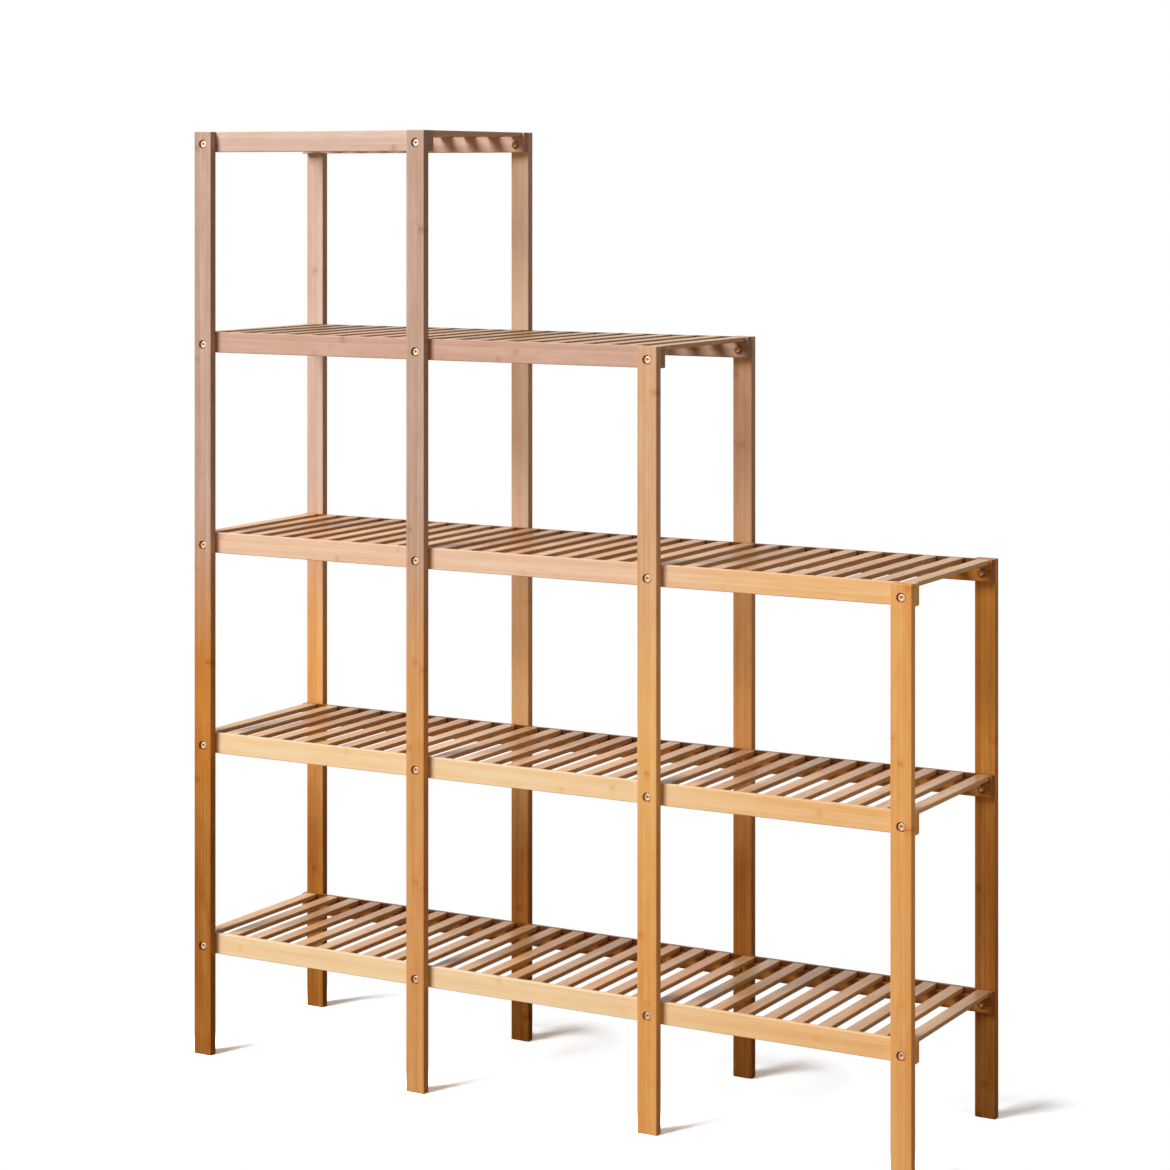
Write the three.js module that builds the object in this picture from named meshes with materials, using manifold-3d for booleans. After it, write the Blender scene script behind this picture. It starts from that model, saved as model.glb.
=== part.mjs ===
// Stepped five-tier bamboo plant stand, bolted together from flat bamboo boards.
//
// Millimetres, +Z up. +X runs along the stand from its tall end to its low end, and the front
// faces -Y. The origin is on the floor, under the middle of the footprint.
//
// Flat posts stand in two rows, one in front of the shelves and one behind them. Every shelf has
// a front rail and a back rail with a rebate along the inner top edge, stopped short of the
// rail's ends, and slats that run from rail to rail with their ends let into the two rebates. A
// bolt with a hexagon socket goes through each crossing of a post and a rail, and a cap nut
// closes it on the rail's inner face.
// The stand steps down from five tiers over its first bay to three over its last.

import * as THREE from 'three';
import { mergeGeometries, mergeVertices } from 'three/addons/utils/BufferGeometryUtils.js';
import Module from 'manifold-3d';

// ---------------------------------------------------------------- driving dimensions

const COLUMN_PITCH = 347; // from one post's centre line to the next along the stand
const TIER_PITCH = 276; // from one shelf to the shelf above it
const FIRST_RAIL_UNDERSIDE = 138; // the lowest rails clear the floor by this much
const SHELF_DEPTH = 259; // over the outer faces of the front and the back rail

// The tiers from the floor up: how many bays each one spans from the tall end, and its slats.
const TIERS = [
  { bays: 3, slats: 29 },
  { bays: 3, slats: 29 },
  { bays: 3, slats: 29 },
  { bays: 2, slats: 19 },
  { bays: 1, slats: 10 },
];

const POST_WIDTH = 28;
const POST_THICKNESS = 12;
const RAIL_HEIGHT = 28;
const RAIL_THICKNESS = 12;
const BOARD_EDGE_RADIUS = 1.2; // the boards' long edges
const BOARD_END_CHAMFER = 0.8; // the sanded arris round a board's sawn end

const SLAT_WIDTH = 18;
const SLAT_THICKNESS = 6;
const SLAT_EDGE_CHAMFER = 0.8; // the slats' long top edges
const SLAT_BEARING = 6; // how far a slat's end lies over each rail
const SLAT_END_MARGIN = 3.5; // from a rail's end to the side of its outermost slat
const GLUE_BITE = 0.2; // how deep the glued slat ends sink into the back rail

const HEAD_DIAMETER = 9.6;
const HEAD_THICKNESS = 1.8;
const HEAD_RECESS = 2; // from the post's face down to the bolt's head
const COUNTERBORE_DIAMETER = 12.4;
const SHANK_DIAMETER = 7;
const NUT_DIAMETER = 10.4;
const NUT_THICKNESS = 2.2;
const SOCKET_ACROSS_FLATS = 4;
const SOCKET_DEPTH = 2.4;

const CLEARANCE = 0.3; // between the metal and the wood, and round a slat's loose end

const EDGE_SEGMENTS = 2; // facets of a rounded board edge
const ROUND_SEGMENTS = 10; // facets of a bolt, a nut or a hole
const CUT_PAST = 1; // how far a cutting tool runs past the face that it leaves

const BOARD_FINISH = { color: 0xd7a272, roughness: 0.45, metalness: 0 };
const POST_FINISH = { color: 0xd39a63, roughness: 0.45, metalness: 0 };
const SHELF_FINISH = { color: 0xcda582, roughness: 0.5, metalness: 0 };
const METAL_FINISH = { color: 0xd9bc8a, roughness: 0.3, metalness: 1 };

// ---------------------------------------------------------------- what follows from them

const REBATE_DEPTH = SLAT_THICKNESS + CLEARANCE;
const BOLT_HEIGHT = (RAIL_HEIGHT - REBATE_DEPTH) / 2; // the middle of the wood under the rebate
const COUNTERBORE_DEPTH = HEAD_RECESS + HEAD_THICKNESS + CLEARANCE;
const BOLT_HOLE_RADIUS = SHANK_DIAMETER / 2 + CLEARANCE;
const JOINT_THICKNESS = POST_THICKNESS + RAIL_THICKNESS;
const COLUMNS = Math.max(...TIERS.map((tier) => tier.bays)) + 1;

const columnX = (column) => (column - (COLUMNS - 1) / 2) * COLUMN_PITCH;
const undersideZ = (tier) => FIRST_RAIL_UNDERSIDE + tier * TIER_PITCH;
const railLength = (bays) => bays * COLUMN_PITCH + POST_WIDTH;
const carries = (column, tier) => column <= TIERS[tier].bays;

// ---------------------------------------------------------------- solids

const wasm = await Module();
wasm.setup();

/** A closed three.js geometry as a solid that can be cut and joined. */
function solid(geometry) {
  const bare = geometry.clone();
  bare.deleteAttribute('normal');
  bare.deleteAttribute('uv');
  const merged = mergeVertices(bare, 1e-4);
  const corners = merged.index.array;
  const triVerts = [];
  for (let i = 0; i < corners.length; i += 3) {
    const [a, b, c] = [corners[i], corners[i + 1], corners[i + 2]];
    if (a !== b && b !== c && c !== a) triVerts.push(a, b, c);
  }
  return new wasm.Manifold(new wasm.Mesh({
    numProp: 3,
    vertProperties: new Float32Array(merged.attributes.position.array),
    triVerts: new Uint32Array(triVerts),
  }));
}

/** The three.js geometry of a solid. */
function geometryOf(body) {
  const mesh = body.getMesh();
  const geometry = new THREE.BufferGeometry();
  geometry.setAttribute('position', new THREE.BufferAttribute(mesh.vertProperties, 3));
  geometry.setIndex(new THREE.BufferAttribute(mesh.triVerts, 1));
  geometry.computeVertexNormals();
  return geometry;
}

/** A path corner at (x, y), rounded from the edge along one unit direction to the next. */
function roundCorner(shape, x, y, [inX, inY], [outX, outY], radius) {
  shape.lineTo(x - inX * radius, y - inY * radius);
  const steps = EDGE_SEGMENTS;
  for (let i = 1; i <= steps; i += 1) {
    const angle = (Math.PI / 2) * (i / steps);
    const along = Math.sin(angle) * radius - radius;
    const across = radius - Math.cos(angle) * radius;
    shape.lineTo(x + inX * along + outX * across, y + inY * along + outY * across);
  }
}

/** An extrusion from z = 0 to z = length with a chamfer round both of its ends. */
function board(shape, length) {
  const geometry = new THREE.ExtrudeGeometry(shape, {
    depth: length - 2 * BOARD_END_CHAMFER,
    steps: 1,
    bevelEnabled: true,
    bevelSegments: 1,
    bevelThickness: BOARD_END_CHAMFER,
    bevelSize: BOARD_END_CHAMFER,
    bevelOffset: -BOARD_END_CHAMFER,
  });
  return geometry.translate(0, 0, BOARD_END_CHAMFER);
}

/** A solid of revolution about the Y axis, from [radius, y] pairs that start and end on it. */
function turned(profile) {
  const points = profile.map(([radius, y]) => new THREE.Vector2(radius, y));
  return new THREE.LatheGeometry(points, ROUND_SEGMENTS);
}

const EAST = [1, 0];
const NORTH = [0, 1];
const WEST = [-1, 0];
const SOUTH = [0, -1];

/** A board's section from x = left to x = right and from y = 0 to y = top. */
function boardSection(left, right, top) {
  const section = new THREE.Shape();
  section.moveTo((left + right) / 2, 0);
  roundCorner(section, right, 0, EAST, NORTH, BOARD_EDGE_RADIUS);
  roundCorner(section, right, top, NORTH, WEST, BOARD_EDGE_RADIUS);
  roundCorner(section, left, top, WEST, SOUTH, BOARD_EDGE_RADIUS);
  roundCorner(section, left, 0, SOUTH, EAST, BOARD_EDGE_RADIUS);
  return section;
}

// ---------------------------------------------------------------- posts

/** The counterbored bolt hole through a post. */
function postHole() {
  const mouth = COUNTERBORE_DIAMETER / 2;
  return turned([
    [0, -CUT_PAST],
    [mouth, -CUT_PAST],
    [mouth, COUNTERBORE_DEPTH],
    [BOLT_HOLE_RADIUS, COUNTERBORE_DEPTH],
    [BOLT_HOLE_RADIUS, POST_THICKNESS + CUT_PAST],
    [0, POST_THICKNESS + CUT_PAST],
  ]);
}

/** A post as high as the top tier that its column carries, bored once for every tier. */
function postGeometry(column) {
  const tiers = TIERS.map((_, tier) => tier).filter((tier) => carries(column, tier));
  const height = undersideZ(Math.max(...tiers)) + RAIL_HEIGHT;
  const section = boardSection(-POST_WIDTH / 2, POST_WIDTH / 2, POST_THICKNESS);
  const holes = tiers.map((tier) => postHole().translate(0, 0, undersideZ(tier) + BOLT_HEIGHT));
  return geometryOf(solid(board(section, height)).subtract(solid(mergeGeometries(holes))));
}

// ---------------------------------------------------------------- rails and shelves

/** Turns an extrusion drawn in XY along Z into one drawn in YZ along X. */
const ALONG_X = new THREE.Matrix4().makeBasis(
  new THREE.Vector3(0, 1, 0),
  new THREE.Vector3(0, 0, 1),
  new THREE.Vector3(1, 0, 0),
);

/** What a rebate takes out of a rail, with the stop at each end of the rail left standing. */
function rebate(length, depth, stop) {
  const past = SLAT_BEARING + CUT_PAST;
  const rise = depth + CUT_PAST;
  const tool = new THREE.BoxGeometry(length - 2 * stop, past, rise);
  const inwards = RAIL_THICKNESS - SLAT_BEARING + past / 2;
  return tool.translate(0, inwards, RAIL_HEIGHT - depth + rise / 2);
}

/** The plain bolt hole through a rail. */
function railHole() {
  return turned([
    [0, -CUT_PAST],
    [BOLT_HOLE_RADIUS, -CUT_PAST],
    [BOLT_HOLE_RADIUS, RAIL_THICKNESS + CUT_PAST],
    [0, RAIL_THICKNESS + CUT_PAST],
  ]);
}

/** A rail over a number of bays, its middle on x = 0, its outer face on y = 0. */
function railSolid(bays, rebateDepth, rebateStop) {
  const length = railLength(bays);
  const section = boardSection(0, RAIL_THICKNESS, RAIL_HEIGHT);
  const blank = board(section, length).translate(0, 0, -length / 2).applyMatrix4(ALONG_X);
  const holes = [];
  for (let post = 0; post <= bays; post += 1) {
    holes.push(railHole().translate((post - bays / 2) * COLUMN_PITCH, 0, BOLT_HEIGHT));
  }
  return solid(blank)
    .subtract(solid(rebate(length, rebateDepth, rebateStop)))
    .subtract(solid(mergeGeometries(holes)));
}

/** The section of a slat, its middle on x = 0 and its top on y = 0. */
function slatSection() {
  const half = SLAT_WIDTH / 2;
  const section = new THREE.Shape();
  section.moveTo(-half, -SLAT_THICKNESS);
  section.lineTo(half, -SLAT_THICKNESS);
  section.lineTo(half, -SLAT_EDGE_CHAMFER);
  section.lineTo(half - SLAT_EDGE_CHAMFER, 0);
  section.lineTo(-half + SLAT_EDGE_CHAMFER, 0);
  section.lineTo(-half, -SLAT_EDGE_CHAMFER);
  return section;
}

/** The evenly spaced slats of a tier, in the frame of the rail that they are glued to. */
function slatRow({ bays, slats }) {
  const land = RAIL_THICKNESS - SLAT_BEARING;
  const start = land - GLUE_BITE;
  const length = SHELF_DEPTH - land - CLEARANCE - start;
  const firstX = SLAT_END_MARGIN + SLAT_WIDTH / 2 - railLength(bays) / 2;
  const pitch = (-2 * firstX) / (slats - 1);
  const row = [];
  for (let i = 0; i < slats; i += 1) {
    const slat = new THREE.ExtrudeGeometry(slatSection(), { depth: length, bevelEnabled: false });
    slat.rotateX(Math.PI / 2);
    row.push(slat.translate(firstX + i * pitch, start + length, RAIL_HEIGHT));
  }
  return mergeGeometries(row);
}

/** A front rail, with room for the loose ends of the slats in its rebate. */
function frontRailGeometry(tier) {
  return geometryOf(railSolid(tier.bays, REBATE_DEPTH, SLAT_END_MARGIN - CLEARANCE));
}

/** A back rail with its tier's slats glued into its rebate. */
function shelfGeometry(tier) {
  const stop = SLAT_END_MARGIN + GLUE_BITE;
  const rail = railSolid(tier.bays, SLAT_THICKNESS - GLUE_BITE, stop);
  return geometryOf(rail.add(solid(slatRow(tier))));
}

// ---------------------------------------------------------------- fasteners

/** A bolt with its cap nut, from the post's outer face on y = 0 inwards along +Y. */
function fastenerGeometry() {
  const head = HEAD_DIAMETER / 2;
  const headBack = HEAD_RECESS + HEAD_THICKNESS;
  const shank = SHANK_DIAMETER / 2;
  const nut = NUT_DIAMETER / 2;
  const nutFace = JOINT_THICKNESS + CLEARANCE;
  const nutTop = nutFace + NUT_THICKNESS;
  const metal = solid(turned([
    [0, HEAD_RECESS],
    [head, HEAD_RECESS],
    [head, headBack],
    [shank, headBack],
    [shank, nutFace],
    [nut, nutFace],
    [nut, nutTop],
    [0, nutTop],
  ]));
  const corner = SOCKET_ACROSS_FLATS / Math.sqrt(3);
  const socket = new THREE.CylinderGeometry(corner, corner, 2 * SOCKET_DEPTH, 6);
  return geometryOf(metal.subtract(solid(socket.translate(0, HEAD_RECESS, 0))));
}

// ---------------------------------------------------------------- assembly

/** A named mesh with a material of its own. */
function piece(name, geometry, finish) {
  const material = new THREE.MeshStandardMaterial({ ...finish, flatShading: true });
  const mesh = new THREE.Mesh(geometry, material);
  mesh.name = name;
  return mesh;
}

const stand = new THREE.Group();

// Both sides are built alike, from the outer face of the rails at y = 0 inwards along +Y. The
// back is the front turned half a turn about the vertical, so it counts its columns backwards.
const sides = [
  { label: 'front', turn: 0 },
  { label: 'back', turn: Math.PI },
];

for (const { label, turn } of sides) {
  const side = new THREE.Group();
  side.rotation.z = turn;
  stand.add(side);
  const sideX = (x) => x * Math.cos(turn);
  const outerRailFace = -SHELF_DEPTH / 2;
  const outerPostFace = outerRailFace - POST_THICKNESS;

  for (let column = 0; column < COLUMNS; column += 1) {
    const post = piece(`post_${label}_${column + 1}`, postGeometry(column), POST_FINISH);
    post.position.set(sideX(columnX(column)), outerPostFace, 0);
    side.add(post);
  }

  TIERS.forEach((tier, index) => {
    const middle = (columnX(0) + columnX(tier.bays)) / 2;
    const number = index + 1;
    const rail = label === 'front'
      ? piece(`rail_front_${number}`, frontRailGeometry(tier), BOARD_FINISH)
      : piece(`shelf_${number}`, shelfGeometry(tier), SHELF_FINISH);
    rail.position.set(sideX(middle), outerRailFace, undersideZ(index));
    side.add(rail);

    for (let column = 0; column <= tier.bays; column += 1) {
      const name = `bolt_${label}_t${number}_c${column + 1}`;
      const bolt = piece(name, fastenerGeometry(), METAL_FINISH);
      const height = undersideZ(index) + BOLT_HEIGHT;
      bolt.position.set(sideX(columnX(column)), outerPostFace, height);
      side.add(bolt);
    }
  });
}

export default stand;
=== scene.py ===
"""The looks of a stepped bamboo plant stand: its boards, bolts, finishes and a plain studio.

Metres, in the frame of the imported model: +Z up, +X from the tall end to the low end, and the
front faces -Y. The file is laid out as an add-on and is run as a script.

Every board is drawn in its own frame first: x runs along its grain, y across its width and z
from its outer face inwards.
"""

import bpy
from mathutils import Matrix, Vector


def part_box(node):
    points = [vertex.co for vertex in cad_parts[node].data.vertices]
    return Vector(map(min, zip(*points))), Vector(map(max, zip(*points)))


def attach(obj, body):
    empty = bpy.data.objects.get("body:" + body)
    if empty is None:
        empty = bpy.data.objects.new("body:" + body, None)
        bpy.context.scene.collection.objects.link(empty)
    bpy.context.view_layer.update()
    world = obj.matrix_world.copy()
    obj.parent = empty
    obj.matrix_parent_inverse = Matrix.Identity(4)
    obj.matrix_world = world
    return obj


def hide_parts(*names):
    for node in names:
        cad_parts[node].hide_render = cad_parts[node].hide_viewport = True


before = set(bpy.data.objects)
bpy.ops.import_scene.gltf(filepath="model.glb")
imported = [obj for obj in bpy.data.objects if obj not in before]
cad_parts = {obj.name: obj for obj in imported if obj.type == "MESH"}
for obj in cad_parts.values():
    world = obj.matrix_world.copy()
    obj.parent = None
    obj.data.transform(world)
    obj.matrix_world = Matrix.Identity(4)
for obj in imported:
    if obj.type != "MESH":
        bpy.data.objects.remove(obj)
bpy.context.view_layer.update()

import math
import random

import bpy
from mathutils import Matrix, Vector

bl_info = {
    "name": "Bamboo Plant Stand",
    "version": (1, 0, 0),
    "blender": (4, 5, 0),
    "location": "3D View > Sidebar > Plant Stand",
    "description": "Builds a stepped bamboo plant stand with its finishes and a plain studio",
    "category": "Object",
}

BODY = "root"
MM = 0.001

# Each tier from the floor up: the number of columns that it spans, and of its slats.
TIERS = ((4, 29), (4, 29), (4, 29), (3, 19), (2, 10))
COLUMNS = 4

# Each side, and the way along X and Y in which its boards are drawn.
SIDES = {"front": 1, "back": -1}

BOARD_WIDTH = 28.0 * MM  # of posts and rails alike
SLAT_ARRIS = 0.5 * MM  # the sanded rounding round a slat's ends
MOUTH_EASE = 0.3 * MM  # the sloping edge of a counterbore's mouth
CUT_PAST = 1.0 * MM  # how far a cutter runs past the face that it leaves

# A hexagon socket's form, from its middle out.
SOCKET_POINT = 0.15  # the flat point of its bottom, as a share of its width
SOCKET_CONE = 0.5 * MM  # how deep the cone of its bottom is
SOCKET_SINK = 0.25 * MM  # the countersink of its mouth: depth,
SOCKET_FLARE = 0.35 * MM  # and width
SOCKET_LAND = 0.75 * MM  # from its flats out to where the face is round again

# The rounded rims of a bolt's head and of a cap nut, as (in from the side, down from the face)
# in millimetres.
HEAD_RIM = ((0.9, 0.0), (0.45, 0.1), (0.13, 0.38), (0.0, 0.8))
NUT_RIM = ((1.0, 0.0), (0.5, 0.12), (0.15, 0.45), (0.0, 0.9))

SLEEVE_LENGTH = 6.0 * MM  # from a cap nut's flange to the end of its sleeve
SLEEVE_GAP = 0.3 * MM  # between that end and the bolt

# How finely round forms are drawn.
EDGE_STEPS = 5
ARRIS_STEPS = 3
ROUND_STEPS = 48

# Edges that turn by more than this stay sharp, in degrees.
SHARP_WOOD = 32
SHARP_METAL = 40

# The numbers that give each board a pattern of its own, counted on along the columns, the
# tiers or a tier's slats.
POST_TAGS = {"front": 30, "back": 10}
RAIL_TAGS = {"front": 70, "back": 50}
SLAT_TAGS = (200, 240, 280, 320, 360)

# The bamboo's tones, partly from its steaming and partly painted light: the tables below make
# the boards paler and pinker towards the top and warmer and more golden towards the bottom, as
# the light falls. Each board is dressed from one to three of them.
TONES = {
    "chestnut": "A06528",
    "caramel": "BE7C34",
    "amber": "CF9860",
    "honey": "DCA262",
    "apricot": "E0B070",
    "wheat": "E6B982",
    "straw": "ECCFA6",
    "biscuit": "E0C0A6",
    "tan": "D0A885",
    "sand": "DBB084",
    "oat": "BE946A",
    "umber": "A28672",
    "fawn": "C6A392",
    "rose": "B99C8C",
    "blush": "CCB2A4",
}

# Each column's posts, at the foot, at half height and at the head.
FRONT_POST_TONES = (
    ("chestnut", "caramel", "rose"),
    ("amber", "amber", "rose"),
    ("honey", "apricot", "tan"),
    ("honey", "honey", "honey"),
)
# The back posts' tones carry painted light and shade: painted shade darkens them at the foot
# and in the third and fourth columns, and painted light makes the second column paler in its
# middle and at its head.
BACK_POST_TONES = (
    ("chestnut", "honey", "blush"),
    ("chestnut", "wheat", "biscuit"),
    ("chestnut", "honey", "tan"),
    ("chestnut", "caramel", "caramel"),
)

# Each tier's rails and slats, at the tall end, in the middle and at the low end.
FRONT_RAIL_TONES = (
    ("straw", "straw", "wheat"),
    ("straw", "straw", "wheat"),
    ("biscuit", "biscuit", "wheat"),
    ("fawn", "fawn", "fawn"),
    ("blush", "blush", "blush"),
)
# The back rails are painted darker than the front ones, most of all at the three lower tiers:
# painted shade on their inner faces under the slats.
BACK_RAIL_TONES = (
    ("chestnut", "chestnut", "chestnut"),
    ("chestnut", "chestnut", "chestnut"),
    ("caramel", "chestnut", "chestnut"),
    ("umber", "umber", "umber"),
    ("fawn", "fawn", "fawn"),
)
SLAT_TONES = (
    ("sand", "oat", "oat"),
    ("sand", "sand", "oat"),
    ("sand", "sand", "oat"),
    ("oat", "oat", "oat"),
    ("fawn", "fawn", "fawn"),
)

# How far single slats of each tier turn to amber, at most, and how much they differ in
# lightness and in warmth. The amber is the bamboo's steaming; its larger reach in the three
# lower tiers is painted warm light.
STEAMING_AND_WARM_LIGHT = (0.75, 0.65, 0.75, 0.3, 0.3)
LIGHTNESS_SPREAD = 0.10
WARMTH_SPREAD = 0.04
SLAT_SEED = 11
BOLT_SEED = 5

# Colours of the other surfaces, as sRGB hex.
# The rebates' scorch, darkened to near black as painted shade.
SCORCHED_AND_SHADED = "3A2210"
THIN_PLATING = "ECCFB2"
# The cap nuts' coppery plating, darkened as painted shade.
NUT_PAINTED_SHADE = "86603E"
# Bare steel inside the sockets, darkened as painted shade.
BARE_SOCKET_PAINTED_SHADE = "C8A484"
PAPER_BOUNCE = "A8926E"
PAPER_GLOW = "F4FBFF"
WARM_ROOM = "FFC68C"
WHITE = (1.0, 1.0, 1.0, 1.0)

# The lamps: width and height, place, and the place that each one faces.
KEY_LAMP = ((3.4, 6.5), (-3.4, -6.0, 7.0), (0.0, 0.0, 0.6))
FILL_LAMP = ((0.6, 0.6), (1.15, -0.15, 0.55), (0.5, 0.0, 0.5))

# The floor, and the shadow beside each foot: where its middle lies from the foot's, and the
# distances from there up to which it shows fully and past which it is gone.
FLOOR_HALF = 12.0
FLOOR_DROP = 0.2 * MM
SHADOW_LEAN = Vector((32.0, 22.0, 0.0)) * MM
SHADOW_REACH = (0.05, 0.12)
# The colour of the paper there, cool against the warm light that the bamboo throws back.
SHADOW_TINT = Vector((0.84, 0.95, 1.03))


# ---------------------------------------------------------------- settings


class StandBoardSettings(bpy.types.PropertyGroup):
    """The sizes of the boards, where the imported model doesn't give them."""

    edge_radius: bpy.props.FloatProperty(
        name="Edge radius", description="Rounding of the boards' long edges",
        default=1.2 * MM, min=0.1 * MM, unit="LENGTH", precision=4)
    arris: bpy.props.FloatProperty(
        name="End arris", description="Sanded rounding round a board's sawn end",
        default=0.8 * MM, min=0.1 * MM, unit="LENGTH", precision=4)
    thickness: bpy.props.FloatProperty(
        name="Rail thickness", description="From a rail's outer face to its inner face",
        default=12.0 * MM, min=6.0 * MM, unit="LENGTH", precision=4)
    land: bpy.props.FloatProperty(
        name="Rail land", description="Width of a rail's top beside its rebate",
        default=6.0 * MM, min=2.0 * MM, unit="LENGTH", precision=4)
    rebate: bpy.props.FloatProperty(
        name="Rebate depth", description="Depth of the rebate that takes the slats' ends",
        default=6.3 * MM, min=2.0 * MM, unit="LENGTH", precision=4)


class StandSlatSettings(bpy.types.PropertyGroup):
    """The sizes of the slats."""

    width: bpy.props.FloatProperty(
        name="Width", description="Width of a slat",
        default=18.0 * MM, min=5.0 * MM, unit="LENGTH", precision=4)
    thickness: bpy.props.FloatProperty(
        name="Thickness", description="Thickness of a slat",
        default=6.0 * MM, min=2.0 * MM, unit="LENGTH", precision=4)
    margin: bpy.props.FloatProperty(
        name="End margin", description="From a rail's end to the side of its outermost slat",
        default=3.5 * MM, min=0.0, unit="LENGTH", precision=4)
    edge_radius: bpy.props.FloatProperty(
        name="Edge radius", description="Rounding of a slat's long edges",
        default=1.0 * MM, min=0.1 * MM, unit="LENGTH", precision=4)
    play: bpy.props.FloatProperty(
        name="End play", description="Gap between a slat's end and the wall of its rebate",
        default=0.3 * MM, min=0.0, unit="LENGTH", precision=4)


class StandBoltSettings(bpy.types.PropertyGroup):
    """The sizes of the bolts, the cap nuts and their holes."""

    head: bpy.props.FloatProperty(
        name="Head diameter", description="Diameter of a bolt's head",
        default=9.6 * MM, min=4.0 * MM, unit="LENGTH", precision=4)
    head_depth: bpy.props.FloatProperty(
        name="Head thickness", description="Thickness of a bolt's head",
        default=1.8 * MM, min=0.5 * MM, unit="LENGTH", precision=4)
    recess: bpy.props.FloatProperty(
        name="Head recess", description="From the post's face down to the bolt's head",
        default=2.0 * MM, min=0.0, unit="LENGTH", precision=4)
    counterbore: bpy.props.FloatProperty(
        name="Counterbore diameter", description="Diameter of the sunk hole round the head",
        default=12.4 * MM, min=5.0 * MM, unit="LENGTH", precision=4)
    counterbore_depth: bpy.props.FloatProperty(
        name="Counterbore depth", description="Depth of the sunk hole round the head",
        default=4.1 * MM, min=0.5 * MM, unit="LENGTH", precision=4)
    hole: bpy.props.FloatProperty(
        name="Hole diameter", description="Diameter of the bolt's hole",
        default=7.6 * MM, min=3.0 * MM, unit="LENGTH", precision=4)
    shank: bpy.props.FloatProperty(
        name="Shank diameter", description="Diameter of the bolt and of the nut's sleeve",
        default=7.0 * MM, min=3.0 * MM, unit="LENGTH", precision=4)
    nut: bpy.props.FloatProperty(
        name="Nut diameter", description="Diameter of a cap nut's flange",
        default=10.4 * MM, min=4.0 * MM, unit="LENGTH", precision=4)
    nut_depth: bpy.props.FloatProperty(
        name="Nut thickness", description="How far a cap nut stands out from its rail",
        default=2.2 * MM, min=0.5 * MM, unit="LENGTH", precision=4)
    socket: bpy.props.FloatProperty(
        name="Socket", description="Hexagon socket, across its flats",
        default=4.0 * MM, min=1.0 * MM, unit="LENGTH", precision=4)
    socket_depth: bpy.props.FloatProperty(
        name="Socket depth", description="Depth of the hexagon socket",
        default=1.2 * MM, min=0.5 * MM, unit="LENGTH", precision=4)


class StandFinishSettings(bpy.types.PropertyGroup):
    """The grain of the bamboo and the colour of the metal."""

    strip: bpy.props.FloatProperty(
        name="Strip width", description="Width of the bamboo strips that a board is glued from",
        default=9.4 * MM, min=2.0 * MM, unit="LENGTH", precision=4)
    knuckles: bpy.props.FloatProperty(
        name="Knuckle spacing", description="Distance between the knuckles of one bamboo strip",
        default=0.29, min=0.05, unit="LENGTH")
    plating: bpy.props.StringProperty(
        name="Plating", description="Colour of the brass plating, as sRGB hex",
        default="F4DECA")


class StandStageSettings(bpy.types.PropertyGroup):
    """The camera, the lamps and the floor."""

    eye: bpy.props.FloatVectorProperty(
        name="Camera", description="Place of the camera, which looks level",
        default=(1.93615, -3.42469, 1.20663), subtype="TRANSLATION", unit="LENGTH")
    yaw: bpy.props.FloatProperty(
        name="Yaw", description="How far the camera is turned to the left of straight ahead",
        default=0.5136, subtype="ANGLE", unit="ROTATION")
    lens: bpy.props.FloatProperty(
        name="Lens", description="Focal length, in millimetres on a sensor 36 mm wide",
        default=90.894, min=10.0)
    rise: bpy.props.FloatProperty(
        name="Vertical shift", description="Shift of the frame, as a share of its width",
        default=-0.34797)
    key: bpy.props.FloatProperty(
        name="Key lamp", description="Power of the tall soft lamp in front on the left",
        default=1245.0, min=0.0, unit="POWER")
    fill: bpy.props.FloatProperty(
        name="Fill lamp", description="Power of the weak soft lamp on the right",
        default=1.2, min=0.0, unit="POWER")
    ambient: bpy.props.FloatProperty(
        name="Ambient", description="Strength of the white surroundings",
        default=0.08, min=0.0)
    floor_glow: bpy.props.FloatProperty(
        name="Floor glow", description="What the camera sees of the floor besides its shadows",
        default=0.22, min=0.0)
    contrast: bpy.props.FloatProperty(
        name="Shadow contrast", description="How deep the camera sees the floor's shadows",
        default=2.5, min=0.0)


# ---------------------------------------------------------------- outlines and shells


def rounded(width, thickness, radius):
    """The outline of a board's section with rounded edges, as (y, z) points, anticlockwise."""
    outline = []
    corners = [Vector(corner) for corner in (
        (0, 0), (width, 0), (width, thickness), (0, thickness))]
    for i, here in enumerate(corners):
        to_last = (corners[i - 1] - here).normalized()
        to_next = (corners[(i + 1) % 4] - here).normalized()
        centre = here + (to_last + to_next) * radius
        for step in range(EDGE_STEPS + 1):
            turn = 0.5 * math.pi * step / EDGE_STEPS
            outline.append(centre - to_next * radius * math.cos(turn)
                           - to_last * radius * math.sin(turn))
    return outline


def inset(outline, distance):
    """The outline moved inwards by a distance."""
    moved = []
    count = len(outline)
    for i, here in enumerate(outline):
        before = (here - outline[i - 1]).normalized()
        after = (outline[(i + 1) % count] - here).normalized()
        inward = Vector((-before.y - after.y, before.x + after.x)).normalized()
        lean = max(0.5, inward.dot(Vector((-after.y, after.x))))
        moved.append(here + inward * distance / lean)
    return moved


def shell(rings):
    """Points and faces of a closed skin over rings of points, with a flat cap on each end."""
    points = [point for ring in rings for point in ring]
    size = len(rings[0])
    faces = [tuple(reversed(range(size)))]
    for ring in range(len(rings) - 1):
        for i in range(size):
            j = (i + 1) % size
            low, high = ring * size, (ring + 1) * size
            faces.append((low + i, low + j, high + j, high + i))
    faces.append(tuple(range(len(points) - size, len(points))))
    return points, faces


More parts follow.
